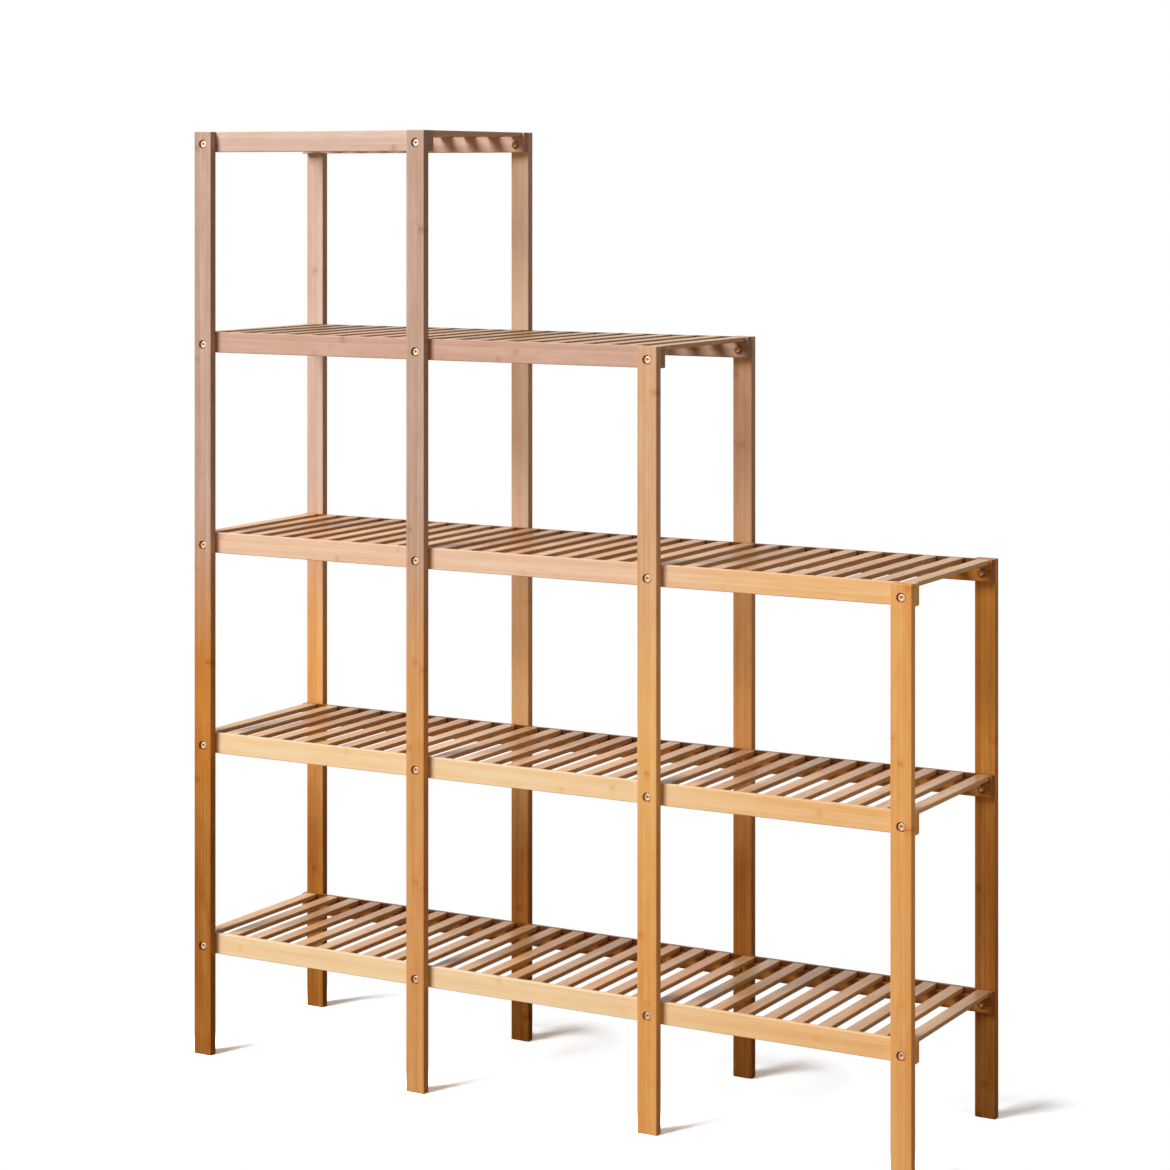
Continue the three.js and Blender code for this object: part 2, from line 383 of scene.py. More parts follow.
def board(outline, length, arris):
    """A board over an outline, with its sawn ends' edges sanded round."""
    stops = []
    for step in range(ARRIS_STEPS + 1):
        turn = 0.5 * math.pi * step / ARRIS_STEPS
        stops.append((arris * (1 - math.cos(turn)), arris * (1 - math.sin(turn))))
    stops += [(length - along, depth) for along, depth in reversed(stops)]
    rings = []
    for along, depth in stops:
        ring = inset(outline, depth) if depth > 0 else outline
        rings.append([Vector((along, point.x, point.y)) for point in ring])
    return shell(rings)


def turned(profile, turn=0.0):
    """A turned skin about the z axis, from (radius, z, hexagonal) stops.

    A hexagonal stop's radius is half of its width across the flats.
    """
    rings = []
    sector = math.pi / 3
    for radius, z, hexagonal in profile:
        ring = []
        for step in range(ROUND_STEPS):
            angle = 2 * math.pi * step / ROUND_STEPS
            off_flat = (angle + sector / 2) % sector - sector / 2
            reach = radius / math.cos(off_flat) if hexagonal else radius
            ring.append(Vector((reach * math.cos(angle + turn),
                                reach * math.sin(angle + turn), z)))
        rings.append(ring)
    return shell(rings)


def new_piece(name, shells):
    """An object with one mesh over (points, faces, matrix) shells."""
    points, faces = [], []
    for skin_points, skin_faces, matrix in shells:
        start = len(points)
        points += [matrix @ point for point in skin_points]
        faces += [tuple(start + corner for corner in face) for face in skin_faces]
    mesh = bpy.data.meshes.new(name)
    mesh.from_pydata(points, [], faces)
    mesh.validate()
    made = bpy.data.objects.new(name, mesh)
    bpy.context.scene.collection.objects.link(made)
    return made


def cut(piece, shells):
    """Cuts the shells out of the piece."""
    tool = new_piece("cutter", shells)
    modifier = piece.modifiers.new("holes", "BOOLEAN")
    modifier.object = tool
    modifier.operation = "DIFFERENCE"
    modifier.solver = "EXACT"
    graph = bpy.context.evaluated_depsgraph_get()
    carved = bpy.data.meshes.new_from_object(piece.evaluated_get(graph))
    piece.modifiers.clear()
    whole = piece.data
    piece.data = carved
    bpy.data.meshes.remove(whole)
    spent = tool.data
    bpy.data.objects.remove(tool)
    bpy.data.meshes.remove(spent)
    carved.name = piece.name
    if len(carved.polygons) < 10:
        raise RuntimeError(f"the holes of {piece.name} could not be cut")


def shade(piece, angle):
    """Smooth shading, with edges sharper than the angle kept sharp and flat faces kept flat."""
    mesh = piece.data
    mesh.polygons.foreach_set("use_smooth", [True] * len(mesh.polygons))
    mesh.set_sharp_from_angle(angle=math.radians(angle))
    modifier = piece.modifiers.new("flat faces", "WEIGHTED_NORMAL")
    modifier.keep_sharp = True
    modifier.weight = 80


def write(mesh, name, kind, values):
    """A value for each point of the mesh, under a name that its material reads."""
    attribute = mesh.attributes.new(name, kind, "POINT")
    field = {"FLOAT": "value", "FLOAT_VECTOR": "vector", "FLOAT_COLOR": "color"}[kind]
    flat = values if kind == "FLOAT" else [number for value in values for number in value]
    attribute.data.foreach_set(field, flat)


def linear(code):
    """The linear colour of an sRGB hex code."""
    colour = []
    for start in (0, 2, 4):
        value = int(code[start:start + 2], 16) / 255
        colour.append(value / 12.92 if value <= 0.04045 else ((value + 0.055) / 1.055) ** 2.4)
    return (*colour, 1.0)


def between(first, second, share):
    """The colour at a share of the way from the first to the second."""
    return tuple(a + (b - a) * share for a, b in zip(first, second))


def blend(tones, share):
    """The linear colour at a share of the way along three tones."""
    first, second, third = (linear(TONES[tone]) for tone in tones)
    if share < 0.5:
        return between(first, second, share * 2)
    return between(second, third, share * 2 - 1)


def grain(piece, boards, tones):
    """Writes what the bamboo's material reads: each point's place in its own board.

    boards is a list of (number of points, matrix from the board's frame, length, tag), and
    tones the three linear colours along each of them.
    """
    mesh = piece.data
    places, tags, ends = [], [], []
    colours = [[], [], []]
    start = 0
    for (count, matrix, length, tag), three in zip(boards, tones):
        back = matrix.inverted()
        for vertex in mesh.vertices[start:start + count]:
            place = back @ vertex.co
            places.append(place)
            tags.append(tag)
            ends.append(1.0 if min(place.x, length - place.x) < 0.05 * MM else 0.0)
        for column, colour in zip(colours, three):
            column += [colour] * count
        start += count
    write(mesh, "board", "FLOAT_VECTOR", places)
    write(mesh, "tag", "FLOAT", tags)
    write(mesh, "sawn", "FLOAT", ends)
    for name, column in zip(("tone_a", "tone_b", "tone_c"), colours):
        write(mesh, name, "FLOAT_COLOR", column)


def mark_rebate(piece, matrix, sizes, ends):
    """Marks a rail's faces that lie inside the rebate, for its material."""
    back = matrix.inverted()
    near = 0.1 * MM
    marks = []
    for face in piece.data.polygons:
        place = back @ face.center
        marks.append(float(ends[0] - near < place.x < ends[1] + near
                           and near < place.y < sizes.rebate + near
                           and sizes.land - near < place.z < sizes.thickness - near))
    attribute = piece.data.attributes.new("rebate", "FLOAT", "FACE")
    attribute.data.foreach_set("value", marks)


def hand_over(piece, material, slot, *nodes):
    """Gives a piece its material, its body and the nodes that it stands for."""
    piece.data.materials.clear()
    piece.data.materials.append(material)
    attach(piece, BODY)
    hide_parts(*nodes)


def axes(x, y, z, origin):
    """The matrix of a board's frame, from the directions of its axes and its origin."""
    matrix = Matrix((x, y, z)).transposed().to_4x4()
    matrix.translation = origin
    return matrix


def bolt_frame(place, outer, turn):
    """The matrix of a bolt's or a hole's frame, whose z runs inwards from the outer face."""
    return axes((1, 0, 0), (0, 0, -turn), (0, turn, 0), (place.x, outer, place.z))


def bolt_places(side, tier=None, column=None):
    """The middles of the bolts on one side, of one tier or of one column."""
    places = []
    for t, (columns, _) in enumerate(TIERS):
        for c in range(columns):
            if tier in (None, t) and column in (None, c):
                low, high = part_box(f"bolt_{side}_t{t + 1}_c{c + 1}")
                places.append((low + high) / 2)
    return places


# ---------------------------------------------------------------- materials


def add(tree, kind, inputs=None, **settings):
    """Adds a node with its settings, and its inputs as links or values."""
    made = tree.nodes.new(kind)
    for name, value in settings.items():
        setattr(made, name, value)
    for name, value in (inputs or {}).items():
        if isinstance(value, bpy.types.NodeSocket):
            tree.links.new(value, made.inputs[name])
        else:
            made.inputs[name].default_value = value
    return made


def empty_material(name):
    """A new material with no nodes."""
    material = bpy.data.materials.new(name)
    material.use_nodes = True
    material.node_tree.nodes.clear()
    return material


def calc(tree, operation, *values):
    """The output of a Math node over the values."""
    inputs = dict(enumerate(values))
    return add(tree, "ShaderNodeMath", inputs, operation=operation).outputs[0]


def ramp(tree, value, low, high, start=0.0, end=1.0, **settings):
    """What goes from start to end while the value goes from low to high."""
    return add(tree, "ShaderNodeMapRange", {
        "Value": value, "From Min": low, "From Max": high, "To Min": start, "To Max": end,
    }, **settings).outputs[0]


def read(tree, name, output="Fac"):
    """What an attribute of the mesh holds here."""
    return add(tree, "ShaderNodeAttribute", attribute_name=name).outputs[output]


def mix(tree, share, first, second):
    """The colour at a share of the way from the first to the second."""
    return add(tree, "ShaderNodeMix", {0: share, 6: first, 7: second},
               data_type="RGBA").outputs[2]


def stretched_noise(tree, place, scales, **inputs):
    """Noise with a scale of its own along each axis, per metre."""
    stretched = add(tree, "ShaderNodeVectorMath", {0: place, 1: scales},
                    operation="MULTIPLY").outputs[0]
    return add(tree, "ShaderNodeTexNoise", {
        "Vector": stretched, "Scale": 1.0, "Detail": 2.0, **inputs}).outputs["Fac"]


def inside(tree, parts, ranges):
    """1 where each named part of a place lies in its range, else 0."""
    result = 1.0
    for part, low, high in ranges:
        for operation, limit in (("GREATER_THAN", low), ("LESS_THAN", high)):
            passed = calc(tree, operation, parts.outputs[part], limit)
            result = calc(tree, "MULTIPLY", result, passed)
    return result


def knuckles(tree, along, strip, tag, phase, shifted, figure):
    """The thin line and the soft band of a strip's knuckles, each from 0 to 1.

    along is the distance along the board, strip the strip's number, tag its board's, phase
    its own share of a spacing, shifted the place in the pattern and figure the cross figure.
    """
    spacing = bpy.context.scene.stand_finish.knuckles
    steps = calc(tree, "ADD", calc(tree, "DIVIDE", along, spacing), phase)

    # Each knuckle has a strength of its own, and a third of them don't show.
    single = add(tree, "ShaderNodeCombineXYZ", {
        "X": strip, "Y": tag, "Z": calc(tree, "FLOOR", steps)}).outputs[0]
    single = add(tree, "ShaderNodeTexWhiteNoise", {"Vector": single}).outputs["Value"]
    single = ramp(tree, single, 0.35, 1.0)

    # The distance to the nearest knuckle, made wavy across the strip by 4.5 mm either way.
    reach = calc(tree, "SUBTRACT", calc(tree, "FRACT", steps), 0.5)
    reach = calc(tree, "MULTIPLY", reach, spacing)
    wave = stretched_noise(tree, shifted, (30.0, 240.0, 240.0))
    wave = calc(tree, "MULTIPLY_ADD", wave, 9.0 * MM, -4.5 * MM)
    reach = calc(tree, "ABSOLUTE", calc(tree, "ADD", reach, wave))
    line = ramp(tree, reach, 0.2 * MM, 1.2 * MM, 1.0, 0.0, interpolation_type="SMOOTHSTEP")
    band = ramp(tree, reach, 0.0, 9.0 * MM, 1.0, 0.0, interpolation_type="SMOOTHSTEP")

    # A line breaks up where the figure is pale.
    line = calc(tree, "MULTIPLY", line, ramp(tree, figure, 0.42, 0.58))
    return [calc(tree, "MULTIPLY", mark, single) for mark in (line, band)]


def bamboo(name, width, thickness, first, second, roughness, shine):
    """Laminated bamboo, steamed to caramel, sanded and lacquered satin.

    What the eye gets: strips a few millimetres wide that differ a little in tone, fine fibres
    along them, a thin wavy brown line with a soft band wherever a strip's knuckle was, and a
    soft gloss on all of it. The walls of holes and rebates are dull and brown, and the rebates'
    are painted nearly black besides, which is painted shade.

    width and thickness are those of the boards. The tone drifts along a board, from tone_a to
    tone_b over the stretch first, and on to tone_c over the stretch second, both in metres from
    its start. shine is the lacquer's specular level, higher where it is thick.
    """
    material = empty_material(name)
    tree = material.node_tree
    place = read(tree, "board", "Vector")
    tag, sawn, rebate = (read(tree, key) for key in ("tag", "sawn", "rebate"))
    parts = add(tree, "ShaderNodeSeparateXYZ", {"Vector": place})

    # Boards don't share a pattern, because each one reads it at a distance of its own.
    apart = add(tree, "ShaderNodeCombineXYZ", {"X": tag, "Y": tag, "Z": tag}).outputs[0]
    apart = add(tree, "ShaderNodeVectorMath", {0: apart, 1: (37.0, 11.0, 5.0)},
                operation="MULTIPLY").outputs[0]
    shifted = add(tree, "ShaderNodeVectorMath", {0: place, 1: apart},
                  operation="ADD").outputs[0]

    # Strips, each with a tone and a knuckle phase of its own.
    strip = bpy.context.scene.stand_finish.strip
    strip = calc(tree, "FLOOR", calc(tree, "DIVIDE", parts.outputs["Y"], strip))
    pair = add(tree, "ShaderNodeCombineXYZ", {"X": strip, "Y": tag})
    chance = add(tree, "ShaderNodeTexWhiteNoise", {"Vector": pair.outputs[0]},
                 noise_dimensions="2D")
    chance = add(tree, "ShaderNodeSeparateColor", {"Color": chance.outputs["Color"]})

    # A fibre is about 0.3 mm wide. It is drawn 1 mm wide and 40 mm long, to show at all.
    fibre = stretched_noise(tree, shifted, (25.0, 1000.0, 1000.0), Detail=3.0, Roughness=0.6)
    fibre = ramp(tree, fibre, 0.42, 0.75)
    # Broad streaks, 4 mm wide and 400 mm long.
    streak = stretched_noise(tree, shifted, (2.5, 250.0, 250.0))
    # The cross figure that sanded bamboo shows, 14 mm across and 60 mm long.
    figure = stretched_noise(tree, shifted, (16.0, 70.0, 70.0), Distortion=0.6)
    line, band = knuckles(tree, parts.outputs["X"], strip, tag, chance.outputs["Red"],
                          shifted, figure)

    # A hole's wall lies inside the board's section. There and in a rebate the bamboo is cut
    # open, and the rebate is scorched by the cutter and painted nearly black besides, as
    # painted shade between the slats.
    drilled = inside(tree, parts, (("X", 1.0 * MM, 10.0), ("Y", 3.0 * MM, width - 3.0 * MM),
                                   ("Z", 0.4 * MM, thickness - 0.4 * MM)))
    cut_open = calc(tree, "MAXIMUM", drilled, rebate)

    # How much browner than its tone the bamboo is here, as a power of the tone.
    power = 1.0
    for source, share, middle in (
            (chance.outputs["Green"], 0.20, 0.5),
            (fibre, 0.16, 0.3),
            (streak, 0.55, 0.5),
            (figure, 0.35, 0.5),
            (line, 0.60, 0.0),
            (band, 0.28, 0.0),
            (cut_open, 0.20, 0.0),
            (sawn, 0.30, 0.0)):
        off = calc(tree, "SUBTRACT", source, middle)
        power = calc(tree, "MULTIPLY_ADD", off, share, power)

    # The drift of tone along a board is partly painted light, from the tables of tones.
    colour = read(tree, "tone_a", "Color")
    for (low, high), tone in zip((first, second), ("tone_b", "tone_c")):
        part = ramp(tree, parts.outputs["X"], low, high, interpolation_type="SMOOTHSTEP")
        colour = mix(tree, part, colour, read(tree, tone, "Color"))
    colour = add(tree, "ShaderNodeGamma", {"Color": colour, "Gamma": power}).outputs[0]
    # The rebate is mixed towards near black: scorch from the cutter and painted shade.
    scorch_and_shade = calc(tree, "MULTIPLY", rebate, 0.55)
    colour = mix(tree, scorch_and_shade, colour, linear(SCORCHED_AND_SHADED))

    # The gloss follows the figure. The fibres stand up a little, and a knuckle's line sinks.
    gloss = ramp(tree, figure, 0.0, 1.0, roughness - 0.06, roughness + 0.06)
    relief = calc(tree, "MULTIPLY_ADD", line, -1.5, fibre)
    bump = add(tree, "ShaderNodeBump",
               {"Height": relief, "Strength": 0.5, "Distance": 0.06 * MM})
    surface = add(tree, "ShaderNodeBsdfPrincipled", {
        "Base Color": colour,
        "Roughness": gloss,
        "IOR": 1.5,
        "Specular IOR Level": shine,
        "Normal": bump.outputs[0],
    })
    add(tree, "ShaderNodeOutputMaterial", {"Surface": surface.outputs[0]})
    return material


def plated_steel():
    """Turned steel, brass plated thin and satin.

    What the eye gets: a pale warm shine on the bolts' heads and a darker, coppery one on the
    cap nuts, which is painted shade, both a little uneven, and dull walls in the sockets,
    darkened as painted shade.
    """
    material = empty_material("Steel, brass plated, satin")
    tree = material.node_tree
    place = add(tree, "ShaderNodeTexCoord").outputs["Object"]
    # Scuffs and thin spots in the plating, about 1 mm across.
    scuff = add(tree, "ShaderNodeTexNoise", {
        "Vector": place, "Scale": 900.0, "Detail": 3.0, "Roughness": 0.65}).outputs["Fac"]
    plating = linear(bpy.context.scene.stand_finish.plating)
    colour = mix(tree, scuff, plating, linear(THIN_PLATING))
    # The cap nuts are painted darker and coppery: painted shade.
    colour = mix(tree, read(tree, "nut"), colour, linear(NUT_PAINTED_SHADE))
    # The plating hardly reaches into the hexagon socket, and its darker colour there is painted
    # shade as well.
    inner = read(tree, "inner")
    colour = mix(tree, inner, colour, linear(BARE_SOCKET_PAINTED_SHADE))
    gloss = ramp(tree, scuff, 0.0, 1.0, 0.36, 0.46)
    gloss = calc(tree, "MULTIPLY_ADD", inner, 0.3, gloss)
    bump = add(tree, "ShaderNodeBump",
               {"Height": scuff, "Strength": 0.1, "Distance": 0.03 * MM})
    surface = add(tree, "ShaderNodeBsdfPrincipled", {
        "Base Color": colour,
        "Metallic": 1.0,
        "Roughness": gloss,
        "Normal": bump.outputs[0],
    })
    add(tree, "ShaderNodeOutputMaterial", {"Surface": surface.outputs[0]})
    return material


def seamless_paper():
    """White seamless paper, matt.

    The camera sees the deep shadows beside the feet, and plain white further out, where the
    paper runs into the white surroundings.
    """
    stage = bpy.context.scene.stand_stage
    material = empty_material("Paper, white seamless, matt")
    tree = material.node_tree
    place = add(tree, "ShaderNodeTexCoord").outputs["Object"]
    fine = add(tree, "ShaderNodeTexNoise", {"Vector": place, "Scale": 400.0, "Detail": 2.0})
    bump = add(tree, "ShaderNodeBump",
               {"Height": fine.outputs["Fac"], "Strength": 0.1, "Distance": 0.1 * MM})
    plain = add(tree, "ShaderNodeBsdfDiffuse",
                {"Color": linear(PAPER_BOUNCE), "Normal": bump.outputs[0]})
    # Near a foot its deep shadow shows, and the thin ones of the decks go over to white.
    pale = add(tree, "ShaderNodeBsdfDiffuse", {
        "Color": (*(SHADOW_TINT * stage.contrast), 1.0)})
    glow = add(tree, "ShaderNodeEmission", {
        "Color": linear(PAPER_GLOW), "Strength": stage.floor_glow})
    near = add(tree, "ShaderNodeAddShader", {0: pale.outputs[0], 1: glow.outputs[0]})
    far = add(tree, "ShaderNodeEmission", {"Color": WHITE, "Strength": 1.0})
    share = 1.0
    for side in SIDES:
        for column in range(COLUMNS):
            low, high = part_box(f"post_{side}_{column + 1}")
            middle = (low + high) / 2 + SHADOW_LEAN
            away = add(tree, "ShaderNodeVectorMath", {0: place, 1: (middle.x, middle.y, 0.0)},
                       operation="DISTANCE").outputs["Value"]
            gone = ramp(tree, away, *SHADOW_REACH, interpolation_type="SMOOTHSTEP")
            share = calc(tree, "MULTIPLY", share, gone)
    seen = add(tree, "ShaderNodeMixShader", {
        0: share, 1: near.outputs[0], 2: far.outputs[0]})
    path = add(tree, "ShaderNodeLightPath")
    choice = add(tree, "ShaderNodeMixShader", {
        0: path.outputs["Is Camera Ray"], 1: plain.outputs[0], 2: seen.outputs[0]})
    add(tree, "ShaderNodeOutputMaterial", {"Surface": choice.outputs[0]})
    return material


# ---------------------------------------------------------------- the stand


class STAND_OT_posts(bpy.types.Operator):
    """Build the eight posts, with their counterbored bolt holes"""

    bl_idname = "stand.posts"
    bl_label = "Posts"

    def execute(self, context):
        sizes = context.scene.stand_boards
        bolts = context.scene.stand_bolts
        material = bamboo("Bamboo, laminated, caramel, satin lacquer (posts)",
                          BOARD_WIDTH, sizes.thickness, first=(0.20, 0.50),
                          second=(0.50, 0.80), roughness=0.42, shine=0.2)
        mouth, hole = bolts.counterbore / 2, bolts.hole / 2
        for (side, turn), tones in zip(SIDES.items(), (FRONT_POST_TONES, BACK_POST_TONES)):
            for column in range(COLUMNS):
                node = f"post_{side}_{column + 1}"
                low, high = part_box(node)
                size = high - low
                x = low.x if turn > 0 else high.x
                outer = low.y if turn > 0 else high.y
                matrix = axes((0, 0, 1), (turn, 0, 0), (0, turn, 0), (x, outer, low.z))
                outline = rounded(size.x, size.y, sizes.edge_radius)
                piece = new_piece(f"bamboo_{node}", [(*board(outline, size.z, sizes.arris),
                                                      matrix)])
                drill = turned([
                    (mouth + MOUTH_EASE + CUT_PAST, -CUT_PAST, False),
                    (mouth, MOUTH_EASE, False),
                    (mouth, bolts.counterbore_depth, False),
                    (hole, bolts.counterbore_depth, False),
                    (hole, size.y + CUT_PAST, False),
                ])
                cut(piece, [(*drill, bolt_frame(place, outer, turn))
                            for place in bolt_places(side, column=column)])
                three = [linear(TONES[tone]) for tone in tones[column]]
                tag = POST_TAGS[side] + column
                grain(piece, [(len(piece.data.vertices), matrix, size.z, tag)], [three])
                shade(piece, SHARP_WOOD)
                hand_over(piece, material, "bamboo_post", node)
        return {"FINISHED"}


class STAND_OT_rails(bpy.types.Operator):
    """Build the ten rails, with the rebates that take the slats' ends"""

    bl_idname = "stand.rails"
    bl_label = "Rails"

    def execute(self, context):
        sizes = context.scene.stand_boards
        bolts = context.scene.stand_bolts
        slat = context.scene.stand_slats
        material = bamboo("Bamboo, laminated, natural, satin lacquer (rails)",
                          BOARD_WIDTH, sizes.thickness, first=(0.10, 0.60),
                          second=(0.55, 1.00), roughness=0.40, shine=0.2)
        stop = slat.margin - slat.play
        inside_end = sizes.thickness + CUT_PAST
        hole = bolts.hole / 2
        drill = turned([(hole, -CUT_PAST, False), (hole, inside_end, False)])
        for (side, turn), side_tones in zip(SIDES.items(), (FRONT_RAIL_TONES, BACK_RAIL_TONES)):
            for tier, tones in enumerate(side_tones):
                node = f"rail_front_{tier + 1}" if turn > 0 else f"shelf_{tier + 1}"
                low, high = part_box(node)
                length, height = high.x - low.x, high.z - low.z
                outer = low.y if turn > 0 else high.y
                x = low.x if turn > 0 else high.x
                matrix = axes((turn, 0, 0), (0, 0, -1), (0, turn, 0), (x, outer, high.z))
                outline = rounded(height, sizes.thickness, sizes.edge_radius)
                piece = new_piece(f"bamboo_rail_{side}_{tier + 1}",
                                  [(*board(outline, length, sizes.arris), matrix)])
                cutter = [[Vector((x_at, y_at, z_at)) for y_at, z_at in (
                    (-CUT_PAST, sizes.land), (sizes.rebate, sizes.land),
                    (sizes.rebate, inside_end), (-CUT_PAST, inside_end))]
                    for x_at in (stop, length - stop)]
                cut(piece, [(*shell(cutter), matrix)] + [
                    (*drill, bolt_frame(place, outer, turn))
                    for place in bolt_places(side, tier=tier)])
                mark_rebate(piece, matrix, sizes, (stop, length - stop))
                three = [linear(TONES[tone]) for tone in tones[::turn]]
                tag = RAIL_TAGS[side] + tier
                grain(piece, [(len(piece.data.vertices), matrix, length, tag)], [three])
                shade(piece, SHARP_WOOD)
                hand_over(piece, material, "bamboo_rail" if turn > 0 else "bamboo_shelf", node)
        return {"FINISHED"}


class STAND_OT_slats(bpy.types.Operator):
    """Build the slats of each tier, one mesh for a tier and one closed board for a slat"""

    bl_idname = "stand.slats"
    bl_label = "Slats"

    def execute(self, context):
        rails = context.scene.stand_boards
        slat = context.scene.stand_slats
        material = bamboo("Bamboo, laminated, natural, satin lacquer (slats)",
                          slat.width, slat.thickness, first=(0.0, 1.0), second=(1.0, 2.0),
                          roughness=0.38, shine=0.45)
        dice = random.Random(SLAT_SEED)
        for tier, (_, count) in enumerate(TIERS):
            low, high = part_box(f"shelf_{tier + 1}")
            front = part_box(f"rail_front_{tier + 1}")[0].y
            length = (high.y - front) - 2 * (rails.land + slat.play)
            start = front + rails.land + slat.play
            first = low.x + slat.margin
            pitch = (high.x - low.x - 2 * slat.margin - slat.width) / (count - 1)
            outline = rounded(slat.width, slat.thickness, slat.edge_radius)
            points, faces = board(outline, length, SLAT_ARRIS)
            shells, boards, tones = [], [], []
            for i in range(count):
                x = first + i * pitch + slat.width
                matrix = axes((0, 1, 0), (-1, 0, 0), (0, 0, 1),
                              (x, start, high.z - slat.thickness))
                shells.append((points, faces, matrix))
                boards.append((len(points), matrix, length, SLAT_TAGS[tier] + i))
                # The tier's tones and its reach of amber carry painted light: paler in the
                # upper tiers, warmer in the lower ones.
                tone = blend(SLAT_TONES[tier], i / (count - 1))
                steamed = dice.uniform(0.0, STEAMING_AND_WARM_LIGHT[tier])
                red, green, blue, _ = between(tone, linear(TONES["amber"]), steamed)
                light = 1.0 + dice.uniform(-LIGHTNESS_SPREAD, LIGHTNESS_SPREAD)
                warm = 1.0 + dice.uniform(-WARMTH_SPREAD, WARMTH_SPREAD)
                tone = (red * light, green * light * warm, blue * light * warm ** 2, 1.0)
                tones.append([tone] * 3)
            piece = new_piece(f"bamboo_slats_{tier + 1}", shells)
            grain(piece, boards, tones)
            shade(piece, SHARP_WOOD)
            hand_over(piece, material, "bamboo_shelf", f"shelf_{tier + 1}")
        return {"FINISHED"}


def socket_stops(radius, face, depth, inward):
    """A hexagon socket's stops for turned(), from its middle out to the face.

    inward is the way from the face into the metal, 1 or -1 along z.
    """
    return [
        (radius * SOCKET_POINT, face + inward * (depth + SOCKET_CONE), False),
        (radius, face + inward * depth, True),
        (radius, face + inward * SOCKET_SINK, True),
        (radius + SOCKET_FLARE, face, True),
        (radius + SOCKET_LAND, face, False),
    ]


def fastener(tip, dice):
    """The skins of a bolt and of its cap nut, whose outer end lies at z = tip."""
    sizes = bpy.context.scene.stand_bolts
    head, nut, shank, socket = (
        size / 2 for size in (sizes.head, sizes.nut, sizes.shank, sizes.socket))
    face, back = sizes.recess, sizes.recess + sizes.head_depth
    seat = tip - sizes.nut_depth
    sleeve = seat - SLEEVE_LENGTH
    bolt = turned([
        *socket_stops(socket, face, sizes.socket_depth, 1),
        *((head - side * MM, face + down * MM, False) for side, down in HEAD_RIM),
        (head, back, False),
        (shank, back, False),
        (shank, sleeve - SLEEVE_GAP, False),
    ], dice.uniform(0, math.pi))
    cap = turned([
        (shank, sleeve, False),
        (shank, seat, False),
        (nut, seat, False),
        *((nut - side * MM, tip - down * MM, False) for side, down in reversed(NUT_RIM)),
        *reversed(socket_stops(socket, tip, sizes.nut_depth, -1)),
    ], dice.uniform(0, math.pi))
    return bolt, cap


def mark_metal(piece, matrix, tip, bolt_points, nut_points):
    """Writes what the metal's material reads: the walls of the sockets, and the cap nut."""
    sizes = bpy.context.scene.stand_bolts
    reach = 0.6 * sizes.socket
    near = 0.2 * MM
    back = matrix.inverted()
    inner = []
    for vertex in piece.data.vertices:
        place = back @ vertex.co
        inner.append(float(math.hypot(place.x, place.y) < reach
                           and sizes.recess + near < place.z < tip - near))
    write(piece.data, "inner", "FLOAT", inner)
    write(piece.data, "nut", "FLOAT", [0.0] * bolt_points + [1.0] * nut_points)


class STAND_OT_fasteners(bpy.types.Operator):
    """Build the bolts and their cap nuts, with hexagon sockets"""

    bl_idname = "stand.fasteners"
    bl_label = "Bolts and cap nuts"

    def execute(self, context):
        material = plated_steel()
        dice = random.Random(BOLT_SEED)
        for side, turn in SIDES.items():
            for tier, (columns, _) in enumerate(TIERS):
                for column in range(columns):
                    node = f"bolt_{side}_t{tier + 1}_c{column + 1}"
                    low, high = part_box(node)
                    post_low, post_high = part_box(f"post_{side}_{column + 1}")
                    outer = post_low.y if turn > 0 else post_high.y
                    tip = (high.y - outer) if turn > 0 else (outer - low.y)
                    bolt, cap = fastener(tip, dice)
                    matrix = bolt_frame((low + high) / 2, outer, turn)
                    piece = new_piece(f"bolt_and_nut_{side}_{tier + 1}_{column + 1}",
                                      [(*bolt, matrix), (*cap, matrix)])
                    mark_metal(piece, matrix, tip, len(bolt[0]), len(cap[0]))
                    shade(piece, SHARP_METAL)
                    hand_over(piece, material, "brass", node)
        return {"FINISHED"}


def add_floor():
    """A wide flat floor, a hair under the feet."""
    corners = [Vector((x * FLOOR_HALF, y * FLOOR_HALF, 0.0))
               for x, y in ((-1, -1), (1, -1), (1, 1), (-1, 1))]
    floor = new_piece("floor", [
        (corners, [(0, 1, 2, 3)], Matrix.Translation((0, 0, -FLOOR_DROP)))])
    floor.data.materials.append(seamless_paper())


def add_lamp(name, power, size, place, target):
    """A soft rectangular lamp that the camera doesn't see."""
    lamp = bpy.data.lights.new(name, "AREA")
    lamp.shape = "RECTANGLE"
    lamp.size, lamp.size_y = size
    lamp.energy = power
    holder = bpy.data.objects.new(name, lamp)
    holder.location = place
    towards = Vector(target) - Vector(place)
    holder.rotation_euler = towards.to_track_quat("-Z", "Y").to_euler()
    holder.visible_camera = False
    bpy.context.scene.collection.objects.link(holder)


def add_surroundings(ambient):
    """White to look at and in reflections, and a faint warm light for everything else."""
    world = bpy.data.worlds.new("White surroundings")
    world.use_nodes = True
    tree = world.node_tree
    tree.nodes.clear()
    path = add(tree, "ShaderNodeLightPath").outputs
    seen = calc(tree, "MAXIMUM", path["Is Camera Ray"], path["Is Glossy Ray"])
    seen = calc(tree, "MAXIMUM", seen, path["Is Transmission Ray"])
    sky = add(tree, "ShaderNodeBackground", {
        "Color": mix(tree, seen, linear(WARM_ROOM), WHITE),
        "Strength": ramp(tree, seen, 0.0, 1.0, ambient, 1.0)})
    add(tree, "ShaderNodeOutputWorld", {"Surface": sky.outputs[0]})
    bpy.context.scene.world = world


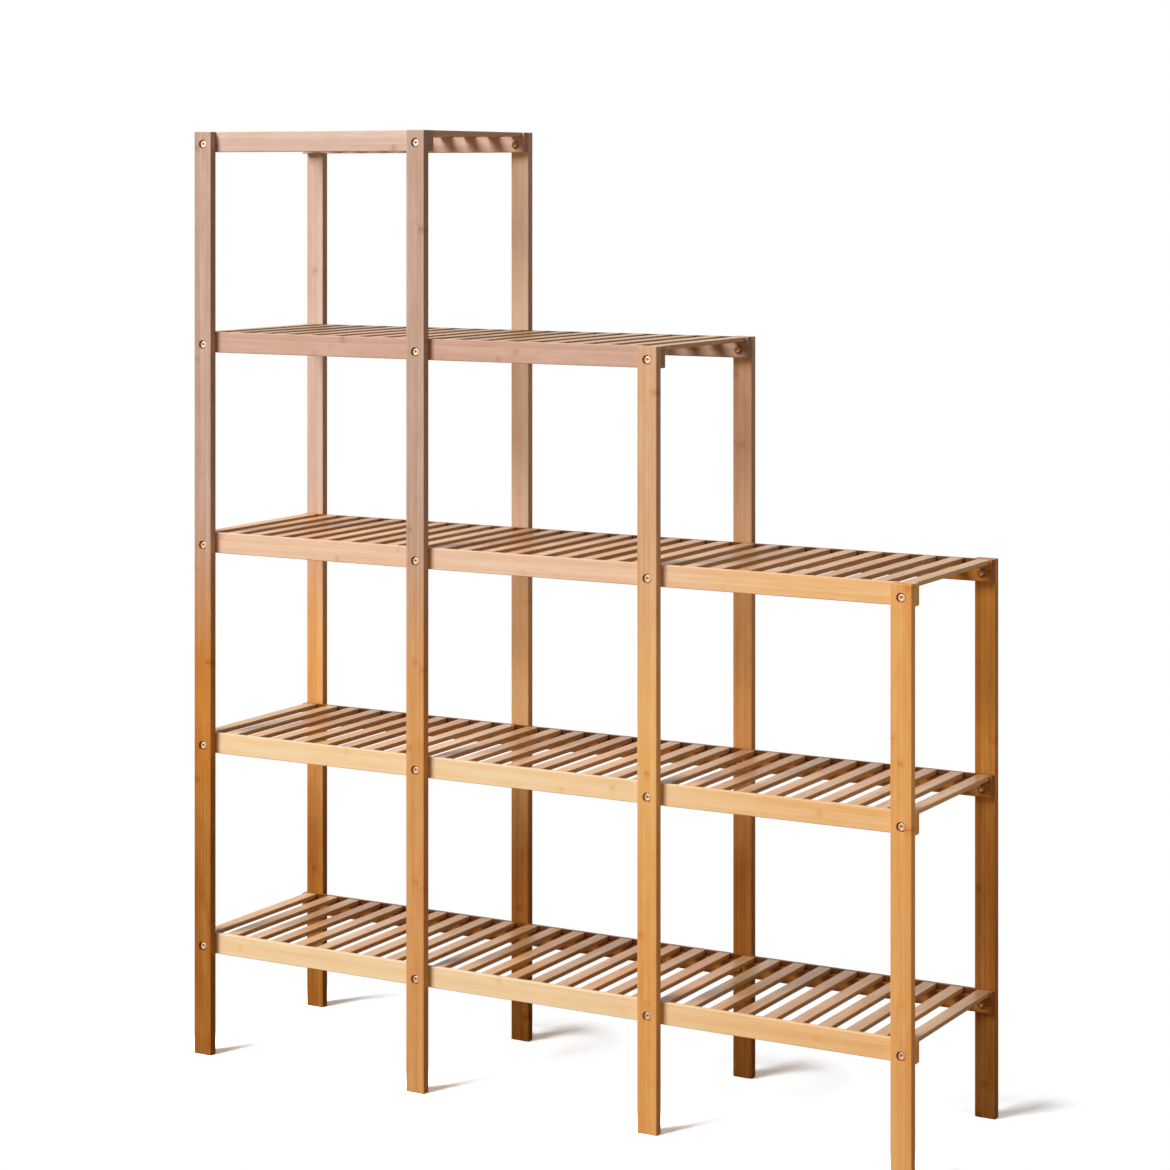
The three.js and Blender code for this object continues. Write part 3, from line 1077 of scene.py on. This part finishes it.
def add_camera(stage):
    """The level camera, at the photograph's angle."""
    camera = bpy.data.cameras.new("camera")
    camera.lens = stage.lens
    camera.sensor_width = 36.0
    camera.shift_y = stage.rise
    camera.clip_end = 100.0
    holder = bpy.data.objects.new("camera", camera)
    holder.location = stage.eye
    holder.rotation_euler = (math.pi / 2, 0.0, stage.yaw)
    bpy.context.scene.collection.objects.link(holder)
    bpy.context.scene.camera = holder


class STAND_OT_stage(bpy.types.Operator):
    """Build the floor, the lamps, the white surroundings and the camera"""

    bl_idname = "stand.stage"
    bl_label = "Stage"

    def execute(self, context):
        stage = context.scene.stand_stage
        add_floor()
        add_lamp("key lamp", stage.key, *KEY_LAMP)
        add_lamp("fill lamp", stage.fill, *FILL_LAMP)
        add_surroundings(stage.ambient)
        add_camera(stage)
        context.scene.view_settings.view_transform = "Standard"
        return {"FINISHED"}


class STAND_PT_panel(bpy.types.Panel):
    """The pieces of the plant stand, in the order in which they are built"""

    bl_idname = "STAND_PT_panel"
    bl_label = "Bamboo Plant Stand"
    bl_space_type = "VIEW_3D"
    bl_region_type = "UI"
    bl_category = "Plant Stand"

    def draw(self, context):
        layout = self.layout
        for name in SETTINGS:
            group = getattr(context.scene, name)
            box = layout.box()
            for key in group.__annotations__:
                box.prop(group, key)
        for operator in OPERATORS:
            layout.operator(operator.bl_idname)


SETTINGS = {
    "stand_boards": StandBoardSettings,
    "stand_slats": StandSlatSettings,
    "stand_bolts": StandBoltSettings,
    "stand_finish": StandFinishSettings,
    "stand_stage": StandStageSettings,
}
OPERATORS = (STAND_OT_stage, STAND_OT_posts, STAND_OT_rails, STAND_OT_slats, STAND_OT_fasteners)


def register():
    """Registers the settings, the operators and the panel."""
    for name, group in SETTINGS.items():
        bpy.utils.register_class(group)
        setattr(bpy.types.Scene, name, bpy.props.PointerProperty(type=group))
    for operator in OPERATORS:
        bpy.utils.register_class(operator)
    bpy.utils.register_class(STAND_PT_panel)


def unregister():
    """Removes what register added."""
    bpy.utils.unregister_class(STAND_PT_panel)
    for operator in reversed(OPERATORS):
        bpy.utils.unregister_class(operator)
    for name, group in reversed(SETTINGS.items()):
        delattr(bpy.types.Scene, name)
        bpy.utils.unregister_class(group)


def main():
    """Builds everything."""
    register()
    bpy.ops.stand.stage()
    bpy.ops.stand.posts()
    bpy.ops.stand.rails()
    bpy.ops.stand.slats()
    bpy.ops.stand.fasteners()
    bpy.context.view_layer.update()


if __name__ == "__main__":
    main()
